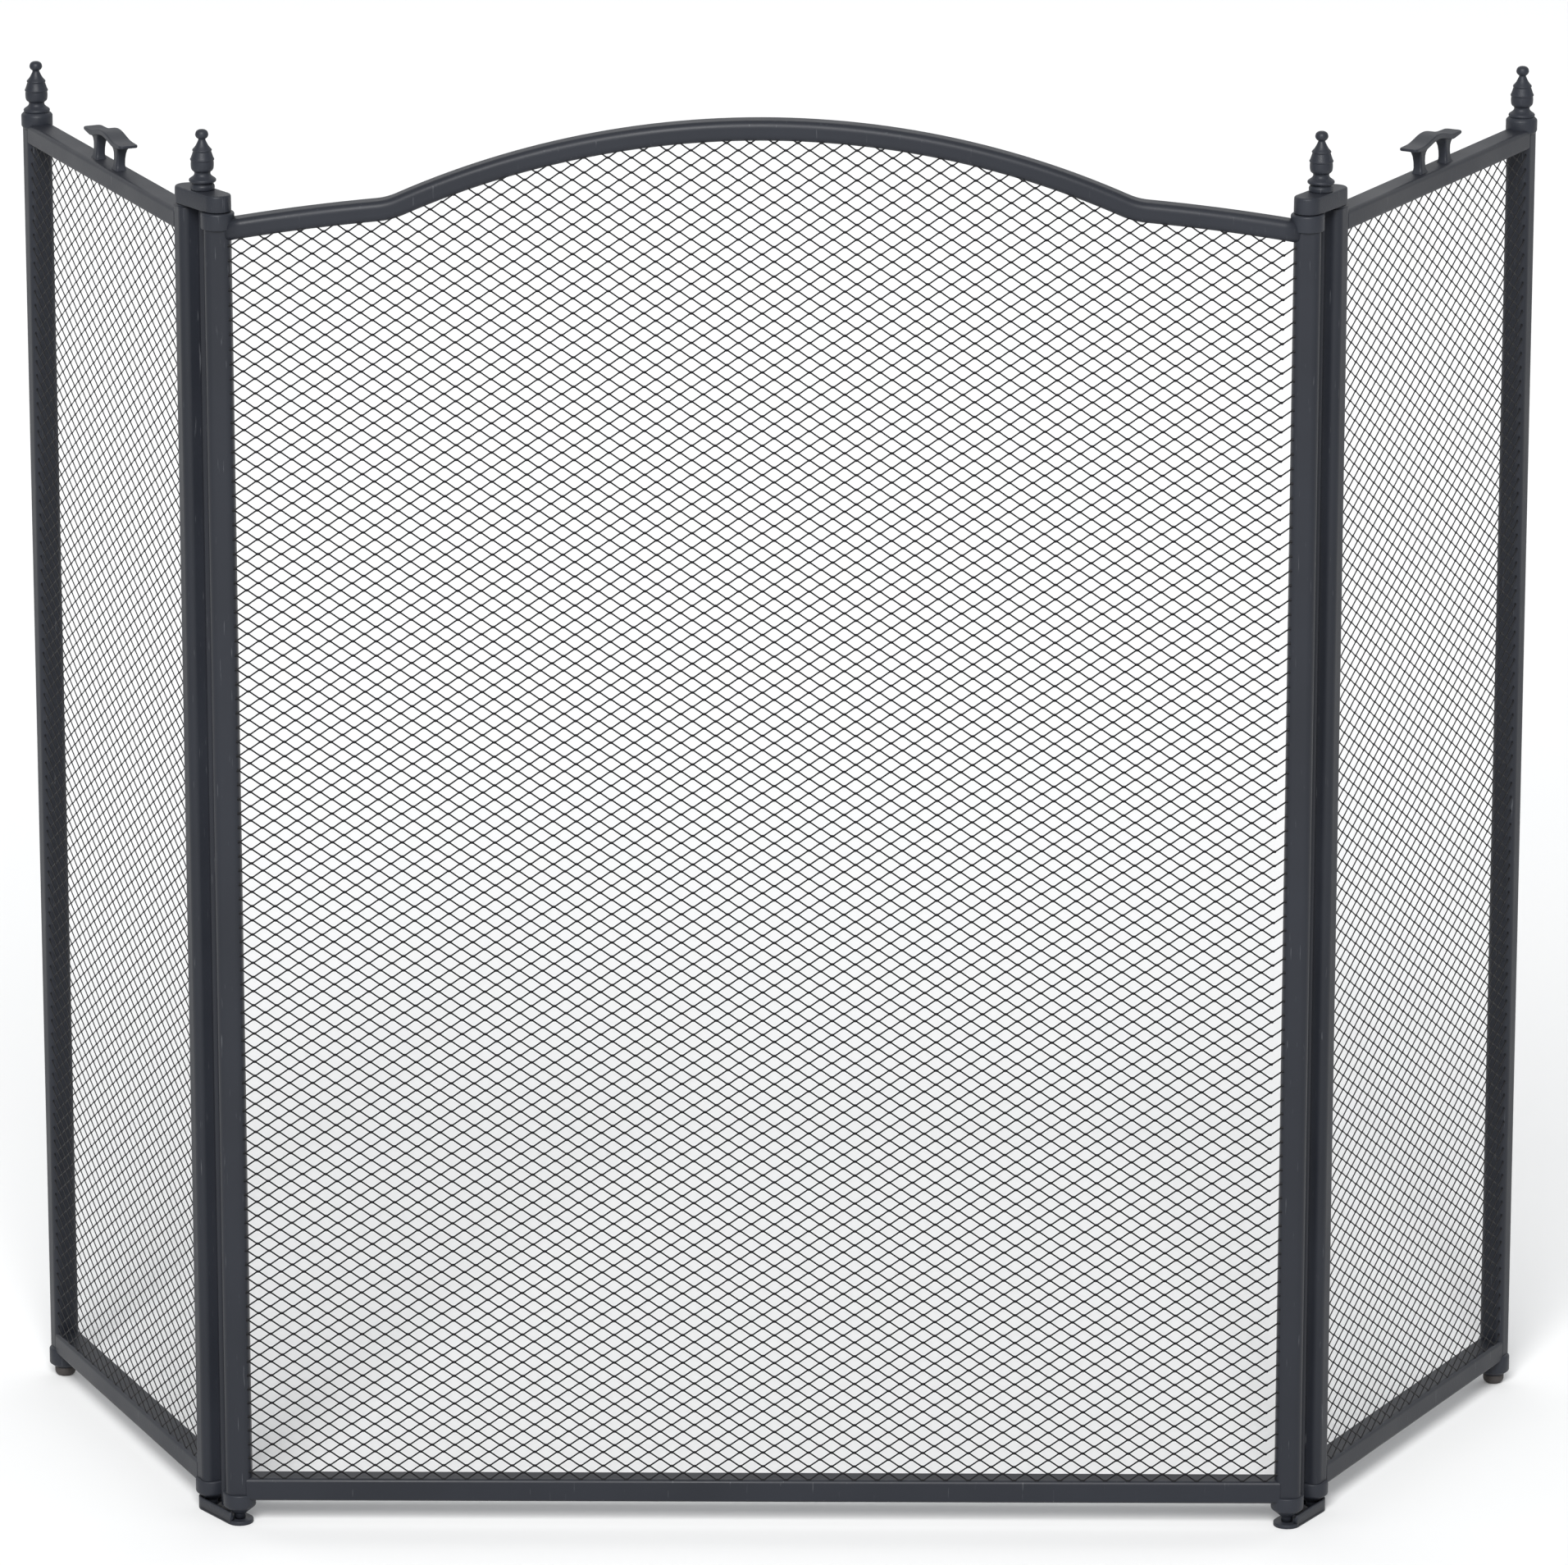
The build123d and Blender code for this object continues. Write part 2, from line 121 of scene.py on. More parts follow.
def skin(rings):
    """Quads over rings[i, j] = point j of ring i, each ring a closed loop, with both ends capped."""
    n, k = rings.shape[:2]
    i, j = np.meshgrid(np.arange(n - 1), np.arange(k), indexing="ij")
    a, b = i * k + j, i * k + (j + 1) % k
    quads = np.stack([a, b, b + k, a + k], axis=-1).reshape(-1, 4).tolist()
    return quads + [list(range(k))[::-1], list(range((n - 1) * k, n * k))]


def rounded_loop(width, height, radius, arc=6, support=0.25 * MM):
    """Rounded rectangle as a closed loop of (u, v), counter-clockwise, with a support point at each
    end of every arc: corner centre + radius * (cos t, sin t)."""
    t = np.linspace(0, math.pi / 2, arc + 1)
    loop = []
    for q, (su, sv) in enumerate(((1, 1), (-1, 1), (-1, -1), (1, -1))):
        cu, cv = su * (width / 2 - radius), sv * (height / 2 - radius)
        ang = t + q * math.pi / 2
        pts = np.stack([cu + radius * np.cos(ang), cv + radius * np.sin(ang)], axis=1)
        first = pts[0] + support * np.array([math.sin(ang[0]), -math.cos(ang[0])])
        last = pts[-1] + support * np.array([-math.sin(ang[-1]), math.cos(ang[-1])])
        loop += [first, *pts, last]
    return np.array(loop)


def carry(loop, centres, tangents, side):
    """Rings of a profile (u, v) carried along a path: centre + u * side + v * (tangent x side)."""
    centres, tangents = np.asarray(centres, float), np.asarray(tangents, float)
    side = np.asarray(side, float)
    up = np.cross(tangents, side)
    return centres[:, None] + loop[None, :, :1] * side + loop[None, :, 1:] * up[:, None]


def straight(loop, start, end, side):
    """The same profile between two points, with a ring close to each end that keeps the rim crisp."""
    start, end = np.asarray(start, float), np.asarray(end, float)
    way = (end - start) / np.linalg.norm(end - start)
    close = 0.0005
    stops = np.array([0, close, 1 - close, 1])[:, None]
    return carry(loop, start + stops * (end - start), np.repeat(way[None], len(stops), 0), side)


def spline(knots, steps=6):
    """Smooth outline through knots (r, z), as Catmull-Rom runs; a knot given twice is a hard edge."""
    p = np.asarray(knots, float)
    out = []
    for i in range(len(p) - 1):
        a, b = p[i], p[i + 1]
        if np.allclose(a, b):
            continue
        before = p[i - 1] if i and not np.allclose(p[i - 1], a) else a
        after = p[i + 2] if i + 2 < len(p) and not np.allclose(p[i + 2], b) else b
        ta, tb = (b - before) / 2, (after - a) / 2
        t = np.linspace(0, 1, steps, endpoint=False)[:, None]
        h = [2 * t**3 - 3 * t**2 + 1, t**3 - 2 * t**2 + t, -2 * t**3 + 3 * t**2, t**3 - t**2]
        out.append(h[0] * a + h[1] * ta + h[2] * b + h[3] * tb)
    return np.vstack(out + [p[-1:]])


def turned(outline, x=0.0, around=48):
    """Lathe a (radius, height) outline about the upright axis at x, closed to a pole at both ends."""
    t = np.linspace(0, 2 * math.pi, around, endpoint=False)
    r, z = np.asarray(outline, float).T
    r = r[:, None]
    rings = np.stack([x + r * np.cos(t), r * np.sin(t), np.repeat(z[:, None], around, 1)], -1)
    return rings.reshape(-1, 3), skin(rings)


def stadium_loop(radius, length, around=28):
    """Oblong outline from x = 0 to x = length: two half circles of this radius."""
    t = np.linspace(-math.pi / 2, math.pi / 2, around)
    right = np.stack([length + radius * np.cos(t), radius * np.sin(t)], 1)
    left = np.stack([-radius * np.cos(t), -radius * np.sin(t)], 1)
    return np.vstack([right, left])


def stadium_block(outline, length):
    """Stack of oblongs: each (radius, height) of the outline is one ring."""
    loops = [(stadium_loop(r, length), z) for r, z in outline]
    rings = np.stack([np.column_stack([loop, np.full(len(loop), z)]) for loop, z in loops])
    return rings.reshape(-1, 3), skin(rings)


# ---- finishes ----------------------------------------------------------------------------------
def node_group(name, inputs, outputs):
    """Empty shader group with float or colour sockets."""
    group = bpy.data.node_groups.new(name, "ShaderNodeTree")
    for label, kind, value in inputs:
        sock = group.interface.new_socket(label, in_out="INPUT", socket_type=kind)
        sock.default_value = value
    for label, kind in outputs:
        group.interface.new_socket(label, in_out="OUTPUT", socket_type=kind)
    return group, group.nodes.new("NodeGroupInput"), group.nodes.new("NodeGroupOutput")


FLOAT, COLOR = "NodeSocketFloat", "NodeSocketColor"


def feed(group, socket, value):
    """Give a socket a value, or link it when the value is another node's output."""
    if isinstance(value, bpy.types.NodeSocket):
        group.links.new(value, socket)
    else:
        socket.default_value = value


def noise(group, vector, scale, detail):
    """Noise between 0 and 1, with this many cells a metre."""
    node = group.nodes.new("ShaderNodeTexNoise")
    node.inputs["Detail"].default_value = detail
    feed(group, node.inputs["Vector"], vector)
    feed(group, node.inputs["Scale"], scale)
    return node.outputs["Fac"]


def spread(group, value, low, high, out_low=0.0, out_high=1.0, kind="LINEAR"):
    """Carry the range low..high of a value over to out_low..out_high."""
    node = group.nodes.new("ShaderNodeMapRange")
    node.interpolation_type = kind
    labels = ("From Min", "From Max", "To Min", "To Max")
    for label, number in zip(labels, (low, high, out_low, out_high)):
        node.inputs[label].default_value = number
    group.links.new(value, node.inputs["Value"])
    return node.outputs["Result"]


def compute(group, operation, *values):
    """One sum or product of numbers and node outputs."""
    node = group.nodes.new("ShaderNodeMath")
    node.operation = operation
    for socket, value in zip(node.inputs, values):
        feed(group, socket, value)
    return node.outputs["Value"]


def blend(group, amount, under, over):
    """Mix two colours."""
    node = group.nodes.new("ShaderNodeMix")
    node.data_type = "RGBA"
    for label, value in (("Factor", amount), ("A", under), ("B", over)):
        group.links.new(value, node.inputs[label])
    return node.outputs["Result"]


def scale_vector(group, operation, label, vector, factor):
    """Stretch a vector or a colour, by one factor on Scale or by three on the second socket."""
    node = group.nodes.new("ShaderNodeVectorMath")
    node.operation = operation
    group.links.new(vector, node.inputs[0])
    feed(group, node.inputs[label], factor)
    return node.outputs["Vector"]


def powder_coat_group():
    """Powder coat: fine orange peel, slow tone drift, rare upright scuffs, and a little dust on faces
    that look up."""
    inputs = [("Paint", COLOR, (0.03, 0.03, 0.03, 1)), ("Dust", COLOR, (0.2, 0.19, 0.18, 1)),
              ("Peel Scale", FLOAT, 900.0), ("Gloss", FLOAT, 0.45), ("Dust Amount", FLOAT, 0.1),
              ("Scuff", COLOR, (0.11, 0.115, 0.125, 1)), ("Scuff Amount", FLOAT, 0.0)]
    outputs = [("Base Color", COLOR), ("Roughness", FLOAT), ("Height", FLOAT)]
    group, gin, gout = node_group("powder_coat", inputs, outputs)
    given = gin.outputs
    place = group.nodes.new("ShaderNodeTexCoord").outputs["Object"]
    peel = noise(group, place, given["Peel Scale"], 2.0)
    grit = noise(group, place, 3200.0, 1.0)
    drift = noise(group, place, 14.0, 4.0)
    lighter = spread(group, drift, 0.3, 0.7, 0.88, 1.1)
    toned = scale_vector(group, "SCALE", "Scale", given["Paint"], lighter)

    face = group.nodes.new("ShaderNodeSeparateXYZ")
    group.links.new(group.nodes.new("ShaderNodeNewGeometry").outputs["Normal"], face.inputs["Vector"])
    looks_up = spread(group, face.outputs["Z"], 0.35, 0.95, kind="SMOOTHSTEP")
    settled = compute(group, "MULTIPLY", looks_up, spread(group, grit, 0.4, 0.75))
    dust = compute(group, "MULTIPLY", settled, given["Dust Amount"])
    dusty = blend(group, dust, toned, given["Dust"])

    upright = scale_vector(group, "MULTIPLY", 1, place, (820.0, 820.0, 55.0))
    marks = spread(group, noise(group, upright, 1.0, 3.0), 0.68, 0.76)
    scuff = compute(group, "MULTIPLY", marks, given["Scuff Amount"])
    group.links.new(blend(group, scuff, dusty, given["Scuff"]), gout.inputs["Base Color"])

    sheen = compute(group, "ADD", spread(group, drift, 0.3, 0.7, -0.05, 0.07), given["Gloss"])
    group.links.new(compute(group, "MULTIPLY_ADD", dust, 0.5, sheen), gout.inputs["Roughness"])
    group.links.new(compute(group, "MULTIPLY_ADD", grit, 0.35, peel), gout.inputs["Height"])
    return group


def finish_material(name, group, values, bump, distance, metallic=0.0, specular=0.26):
    """Principled shader fed by one effect group; constants sit on the shader's own sockets."""
    mat = bpy.data.materials.new(name)
    mat.use_nodes = True
    tree = mat.node_tree
    shader = tree.nodes["Principled BSDF"]
    shader.inputs["Metallic"].default_value = metallic
    shader.inputs["Specular IOR Level"].default_value = specular
    effect = tree.nodes.new("ShaderNodeGroup")
    effect.node_tree = group
    for label, value in values.items():
        effect.inputs[label].default_value = value
    relief = tree.nodes.new("ShaderNodeBump")
    relief.inputs["Strength"].default_value = bump
    relief.inputs["Distance"].default_value = distance
    tree.links.new(effect.outputs["Base Color"], shader.inputs["Base Color"])
    tree.links.new(effect.outputs["Roughness"], shader.inputs["Roughness"])
    tree.links.new(effect.outputs["Height"], relief.inputs["Height"])
    tree.links.new(relief.outputs["Normal"], shader.inputs["Normal"])
    return mat


COAT = powder_coat_group()
FINISH = {
    "frame_paint": finish_material("frame_paint", COAT, {
        "Paint": (0.0155, 0.0175, 0.0235, 1), "Gloss": 0.44, "Peel Scale": 700.0, "Dust Amount": 0.05,
        "Scuff Amount": 0.55,
    }, 0.22, 0.0002),
    "casting_paint": finish_material("casting_paint", COAT, {
        "Paint": (0.0195, 0.022, 0.029, 1), "Gloss": 0.46, "Peel Scale": 1100.0, "Dust Amount": 0.06,
        "Scuff Amount": 0.35,
    }, 0.3, 0.0003),
    "mesh_paint": finish_material("mesh_paint", COAT, {
        "Paint": (0.008, 0.008, 0.009, 1), "Gloss": 0.5, "Peel Scale": 1500.0, "Dust Amount": 0.02,
    }, 0.15, 0.0001, specular=0.12),
    "fastener": finish_material("fastener", COAT, {
        "Paint": (0.3, 0.3, 0.31, 1), "Gloss": 0.36, "Peel Scale": 2500.0, "Dust Amount": 0.1,
    }, 0.2, 0.0001, metallic=0.9, specular=0.5),
    "glide": finish_material("glide", COAT, {
        "Paint": (0.052, 0.046, 0.044, 1), "Gloss": 0.62, "Peel Scale": 1600.0, "Dust Amount": 0.2,
    }, 0.35, 0.0002),
}
for node, obj in frame["nodes"].items():
    slot = next(p["material_slot"] for p in frame["record"]["subparts"] if p["node"] == node)
    obj.data.materials.clear()
    obj.data.materials.append(FINISH[slot])


# ---- arch --------------------------------------------------------------------------------------
SHOULDER_TOP, KINK_TOP, CROWN_TOP = WING_RAIL[1], 0.756, cad_box[1].z
KINK_X, CLEAR_X = 0.200, HALF_W - STILE / 2
SHOULDER_R, BEND_R = 1.090, 0.040


def circle_meet(c0, r0, c1, r1, upper):
    """Crossing of two circles in the x, z plane; upper picks the higher one."""
    c0, c1 = np.array(c0, float), np.array(c1, float)
    d = np.linalg.norm(c1 - c0)
    a = (r0**2 - r1**2 + d**2) / (2 * d)
    h = math.sqrt(r0**2 - a**2)
    way = (c1 - c0) / d
    ends = sorted((c0 + a * way + s * h * np.array([-way[1], way[0]]) for s in (1, -1)), key=lambda p: p[1])
    return ends[1] if upper else ends[0]


RISE = CROWN_TOP - KINK_TOP
CROWN_R = (KINK_X**2 + RISE**2) / (2 * RISE)
HALF_RAIL = RAIL_H / 2
CROWN_C = np.array([0, CROWN_TOP - HALF_RAIL - CROWN_R])
SHOULDER_C = circle_meet((KINK_X, KINK_TOP - HALF_RAIL), SHOULDER_R,
                         (CLEAR_X, SHOULDER_TOP - HALF_RAIL), SHOULDER_R, False)
BEND_C = circle_meet(CROWN_C, CROWN_R + BEND_R, SHOULDER_C, SHOULDER_R + BEND_R, True)


def arc_points(centre, radius, start, end, count):
    """centre + radius * (cos a, sin a) from one point's bearing to another's, with the tangents."""
    a0 = math.atan2(start[1] - centre[1], start[0] - centre[0])
    a1 = math.atan2(end[1] - centre[1], end[0] - centre[0])
    sweep = (a1 - a0 + math.pi) % (2 * math.pi) - math.pi
    a = a0 + sweep * np.linspace(0, 1, count)
    turn = 1.0 if a[-1] > a[0] else -1.0
    at = centre + radius * np.stack([np.cos(a), np.sin(a)], 1)
    return at, turn * np.stack([-np.sin(a), np.cos(a)], 1)


def arch_path():
    """Centreline and tangents of the arched rail, from the left stile to the right one."""
    bend_in = CROWN_C + (BEND_C - CROWN_C) * CROWN_R / (CROWN_R + BEND_R)
    bend_out = SHOULDER_C + (BEND_C - SHOULDER_C) * SHOULDER_R / (SHOULDER_R + BEND_R)
    x_end = CLEAR_X + WELD_REACH
    end = np.array([x_end, SHOULDER_C[1] + math.sqrt(SHOULDER_R**2 - (x_end - SHOULDER_C[0]) ** 2)])
    crown = arc_points(CROWN_C, CROWN_R, (0, CROWN_TOP), bend_in, 28)
    bend = arc_points(BEND_C, BEND_R, bend_in, bend_out, 10)
    shoulder = arc_points(SHOULDER_C, SHOULDER_R, bend_out, end, 10)
    at = np.vstack([crown[0], bend[0][1:], shoulder[0][1:]])
    way = np.vstack([crown[1], bend[1][1:], shoulder[1][1:]])
    at = np.vstack([at[:0:-1] * (-1, 1), at])
    way = np.vstack([way[:0:-1] * (1, -1), way])
    flat = np.zeros(len(at))
    return np.column_stack([at[:, 0], flat, at[:, 1]]), np.column_stack([way[:, 0], flat, way[:, 1]])


def arch_underside(x):
    """Height of the arch's lower edge at x, the lower envelope of its three circles."""
    x = np.abs(x)
    crown = CROWN_C[1] + np.sqrt(np.maximum((CROWN_R - HALF_RAIL) ** 2 - x**2, 0))
    shoulder = SHOULDER_C[1] + np.sqrt((SHOULDER_R - HALF_RAIL) ** 2 - (x - SHOULDER_C[0]) ** 2)
    return np.where(x < BEND_C[0], np.maximum(crown, shoulder), shoulder)


# ---- tubes -------------------------------------------------------------------------------------
STILE_LOOP = rounded_loop(STILE, STILE, STILE_R)
ARCH_LOOP = rounded_loop(STILE, RAIL_H, ARCH_RAIL_R)


def stile(name, body, place, x):
    """Rounded square upright over a CAD stile."""
    low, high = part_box(name)
    rings = straight(STILE_LOOP, (x, 0, low.z), (x, 0, high.z), (1, 0, 0))
    add_piece(f"{name}_tube", rings, skin(rings), body, [name], "frame_paint", place)


def level_rail(name, body, place, x0, x1):
    """Straight rail over a CAD rail, run a little way into the tubes that it is welded to."""
    low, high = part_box(name)
    z = (low.z + high.z) / 2
    loop = rounded_loop(STILE, high.z - low.z, LEVEL_RAIL_R)
    rings = straight(loop, (x0 - WELD_REACH, 0, z), (x1 + WELD_REACH, 0, z), (0, 1, 0))
    add_piece(f"{name}_tube", rings, skin(rings), body, [name], "frame_paint", place)


for s, x in (("left", -HALF_W), ("right", HALF_W)):
    stile(f"center_{s}_stile", "center_panel", CENTER_FRAME, x)
level_rail("center_bottom_rail", "center_panel", CENTER_FRAME, -CLEAR_X, CLEAR_X)
rings = carry(ARCH_LOOP, *arch_path(), (0, 1, 0))
add_piece("arched_top_rail_tube", rings, skin(rings), "center_panel", ["arched_top_rail"], "frame_paint",
          CENTER_FRAME)
for s in SIDES:
    body = f"{s}_wing"
    stile(f"{body}_inner_stile", body, WING_FRAME[s], 0)
    stile(f"{body}_outer_stile", body, WING_FRAME[s], WING_L)
    for rail in ("top_rail", "bottom_rail"):
        level_rail(f"{body}_{rail}", body, WING_FRAME[s], STILE / 2, WING_L - STILE / 2)


# ---- expanded mesh -----------------------------------------------------------------------------
LONG_WAY, SHORT_WAY = 12.7 * MM, 8.13 * MM
BOND_L, BOND_FLAT, BOND_H = 2.1 * MM, 1.3 * MM, 1.36 * MM
STRAND_T, STRAND_TILT = 0.2 * MM, 0.12 * MM
SIDE_TUCK, EDGE_TUCK = 9 * MM, 5 * MM
SPLIT_Z = 0.40


def expanded_mesh(x0, x1, z0, top, plane, room):
    """Flattened expanded metal as one sheet of bonds and strands.

    Bonds sit at (i * long/2, j * short/2) where i + j is even. Each is a hexagon with a front and a back,
    and a strand runs from its side edge to the bond up and to the left, and to the one up and to the right.
    The upper edges lean back by the tilt and the lower ones forward.
    """
    ni, nj = int((x1 - x0) / LONG_WAY * 2) + 4, int((CROWN_TOP - z0) / SHORT_WAY * 2) + 4
    i, j = np.meshgrid(np.arange(-2, ni), np.arange(-2, nj), indexing="ij")
    x = (x0 + x1) / 2 + (i - ni // 2) * LONG_WAY / 2
    z = z0 + j * SHORT_WAY / 2
    across = (x > x0 - SIDE_TUCK) & (x < x1 + SIDE_TUCK)
    upward = (z > z0 - EDGE_TUCK) & (z < top(x) + EDGE_TUCK)
    kept = ((i + j) % 2 == 0) & across & upward
    number = np.full(i.shape, -1)
    number[kept] = np.arange(kept.sum())
    shape = np.array([(-BOND_L, 0, 0), (-BOND_FLAT, 1, BOND_H), (BOND_FLAT, 1, BOND_H),
                      (BOND_L, 0, 0), (BOND_FLAT, -1, -BOND_H), (-BOND_FLAT, -1, -BOND_H)]) / 2
    points = []
    for depth in (0.5, -0.5):
        y = plane + room * (depth * STRAND_T - shape[:, 1] * 2 * STRAND_TILT)
        corner = np.column_stack([shape[:, 0], y, shape[:, 2]])
        points.append(np.column_stack([x[kept], np.zeros(kept.sum()), z[kept]])[:, None] + corner)
    points = np.concatenate(points, axis=1)
    first = 12 * number
    quads = []

    def add(*corners):
        quads.append(np.stack(corners, axis=-1).reshape(-1, 4))

    base = first[kept]
    add(base, base + 1, base + 2, base + 3)
    add(base, base + 3, base + 4, base + 5)
    add(base + 9, base + 8, base + 7, base + 6)
    add(base + 11, base + 10, base + 9, base + 6)
    add(base + 2, base + 1, base + 7, base + 8)
    add(base + 5, base + 4, base + 10, base + 11)

    def strand(di, near, far):
        """Four walls from the near corners of a bond to the far corners of its upper neighbour."""
        inner, shifted = slice(2, -2), slice(2 + di, number.shape[0] - 2 + di)
        joined = (number[inner, :-1] >= 0) & (number[shifted, 1:] >= 0)
        a, b = first[inner, :-1][joined], first[shifted, 1:][joined]
        (n0, n1), (f0, f1) = near, far
        add(a + n0, b + f0, b + f1, a + n1)
        add(a + n1 + 6, b + f1 + 6, b + f0 + 6, a + n0 + 6)
        add(a + n1, b + f1, b + f1 + 6, a + n1 + 6)
        add(a + n0 + 6, b + f0 + 6, b + f0, a + n0)

    strand(-1, (0, 1), (4, 3))
    strand(1, (2, 3), (0, 5))
    faces = np.vstack(quads)
    return points.reshape(-1, 3), faces if room > 0 else faces[:, ::-1]


def split_mesh(points, quads, height):
    """The sheet's faces below and above a height, each with only the points it uses."""
    above = points[quads[:, 0], 2] > height
    for part in (quads[~above], quads[above]):
        used, index = np.unique(part, return_inverse=True)
        yield points[used], index.reshape(part.shape)


def mesh_plane(node, place):
    """Distance of a mesh slab's middle plane from the local x axis."""
    return (place.inverted() @ middle(node)).y


plane = mesh_plane("center_mesh", CENTER_FRAME)
points, quads = expanded_mesh(-CLEAR_X, CLEAR_X, BOTTOM_RAIL[1], arch_underside, plane, -1.0)
for part, (pts, faces) in zip(("lower", "upper"), split_mesh(points, quads, SPLIT_Z)):
    add_piece(f"center_mesh_{part}", pts, faces.tolist(), "center_panel", ["center_mesh"], "mesh_paint",
              CENTER_FRAME)
for s in SIDES:
    plane = mesh_plane(f"{s}_wing_mesh", WING_FRAME[s])
    points, quads = expanded_mesh(STILE / 2, WING_L - STILE / 2, BOTTOM_RAIL[1],
                                  lambda x: np.full(x.shape, WING_RAIL[0]), plane, ROOM[s])
    add_piece(f"{s}_wing_mesh_sheet", points, quads.tolist(), f"{s}_wing", [f"{s}_wing_mesh"], "mesh_paint",
              WING_FRAME[s])


# ---- turned and cast pieces --------------------------------------------------------------------
def rounded(r, z, dr, dz, steps=5):
    """Quarter round of an outline that ends in a corner at (r, z): it leaves along dz and arrives
    along dr, as corner + (dr * (1 - sin t), dz * (1 - cos t)) with t from 90 degrees to 0."""
    t = np.linspace(0, math.pi / 2, steps)
    return [(r + dr * (1 - math.cos(a)), z + dz * (1 - math.sin(a))) for a in t]


def lathe(name, body, place, outline, x, slot="casting_paint"):
    """Turned piece for one CAD node, from an outline in millimetres."""
    points, faces = turned(np.array(outline) * MM, x)
    add_piece(f"{name}_turned", points, faces, body, [name], slot, place)


def finial_outline(foot, base):
    """Ball, waist, two lipped tiers, barrel, neck and flange, above the face the finial stands on."""
    low, drop = [(6.6, 0), (6.6, 0)], 4.4
    if base:
        low, drop = [(6.1, 0.0), (6.5, 0.5), (6.55, 2.0), (6.2, 2.9), (5.6, 3.4), (5.6, 3.4)], 0.0
    body = [(6.9, 4.4), (7.3, 4.8), (7.35, 5.5), (7.0, 6.1), (5.6, 7.1), (4.7, 8.0), (4.35, 9.0), (4.6, 9.9),
            (5.6, 10.8), (6.1, 12.0), (6.25, 14.2), (6.1, 16.1), (6.1, 16.1), (6.45, 16.3), (6.5, 16.9),
            (6.2, 17.3), (6.2, 17.3), (5.6, 19.0), (4.9, 21.2), (4.9, 21.2), (5.2, 21.4), (5.25, 21.9),
            (4.95, 22.3), (4.95, 22.3), (3.7, 23.8), (2.6, 25.8), (2.0, 27.2), (2.05, 27.8), (2.9, 28.5),
            (3.5, 29.6), (3.5, 30.6), (3.0, 31.9), (1.9, 32.7), (0.7, 33.0)]
    knots = [(r, z + foot) for r, z in low] + [(r, z + foot - drop) for r, z in body]
    return spline(knots, 4)


LOW_PLUG = [(2.2, 0.5), (2.2, 2.6), (3.2, 2.6), (3.2, 5.2), (3.4, 5.6), (4.0, 6.0), (8.4, 9.7),
            (8.95, 10.3), (9.15, 11.1), (9.15, 17.3), (9.05, 17.8), (8.7, 18.0), (6.2, 18.0), (6.2, 32.0)]
TOP_COLLAR = [(6.2, 0.0), (8.7, 0.0), (9.05, 0.15), (9.15, 0.5), (9.15, 7.4),
              *rounded(9.15, 9.0, -1.1, -1.1), (3.1, 9.0), (3.1, 15.0)]
OUTER_COLLAR_H = 9.5
OUTER_COLLAR = [(6.2, 0.0), (7.7, 0.0), (8.65, 1.5), (8.8, 2.0), (8.8, 7.3), (8.6, 8.0), (7.5, 9.1),
                (7.0, OUTER_COLLAR_H), (3, OUTER_COLLAR_H)]
FOOT_COLLAR = [(2.5, 5.6), (6.0, 5.5), (8.8, 7.7), (9.05, 8.2), (9.05, 16.2), (8.8, 16.8), (7.7, 18),
               (6.2, 18)]
FOOT_PAD = [(0.1, 0.0), (3.6, 0.0), (4.7, 0.5), (5.5, 1.3), (5.9, 2.2), (6.0, 2.8), (6.0, 5.2),
            (5.8, 5.45), (2.5, 5.5)]


def raised(outline, z):
    """The same outline at another height."""
    return [(r, h + z) for r, h in outline]


def node_foot(node):
    """Height of a node's underside in millimetres."""
    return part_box(node)[0].z / MM


for s, x in (("left", -HALF_W), ("right", HALF_W)):
    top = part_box(f"center_{s}_stile")[1].z / MM
    lathe(f"center_{s}_top_collar", "center_panel", CENTER_FRAME, raised(TOP_COLLAR, top), x)
    lathe(f"center_{s}_bottom_plug", "center_panel", CENTER_FRAME, LOW_PLUG, x)
for s in SIDES:
    link, wing = f"{s}_link", f"{s}_wing"
    on_cap = finial_outline(node_foot(f"{s}_hinge_finial"), True)
    lathe(f"{s}_hinge_finial", link, LINK_FRAME[s], on_cap, LINK_L / 2)
    lathe(f"{wing}_bottom_plug", wing, WING_FRAME[s], LOW_PLUG, 0)
    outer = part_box(f"{wing}_outer_stile")[1].z / MM
    lathe(f"{wing}_outer_collar", wing, WING_FRAME[s], raised(OUTER_COLLAR, outer), WING_L)
    lathe(f"{wing}_finial", wing, WING_FRAME[s], finial_outline(outer + OUTER_COLLAR_H, False), WING_L)
    lathe(f"{wing}_foot_collar", wing, WING_FRAME[s], FOOT_COLLAR, WING_L)
    lathe(f"{wing}_foot_pad", wing, WING_FRAME[s], FOOT_PAD, WING_L, "glide")


def handed(points, faces, side):
    """Pieces are drawn for the right wing. The left ones are mirrored front to back, with their faces
    turned round."""
    points = np.asarray(points, float).reshape(-1, 3)
    if side == "right":
        return points, faces
    return points * (1, -1, 1), [f[::-1] for f in faces]


CAP_R, PLATE_R = 7.6, 7.6


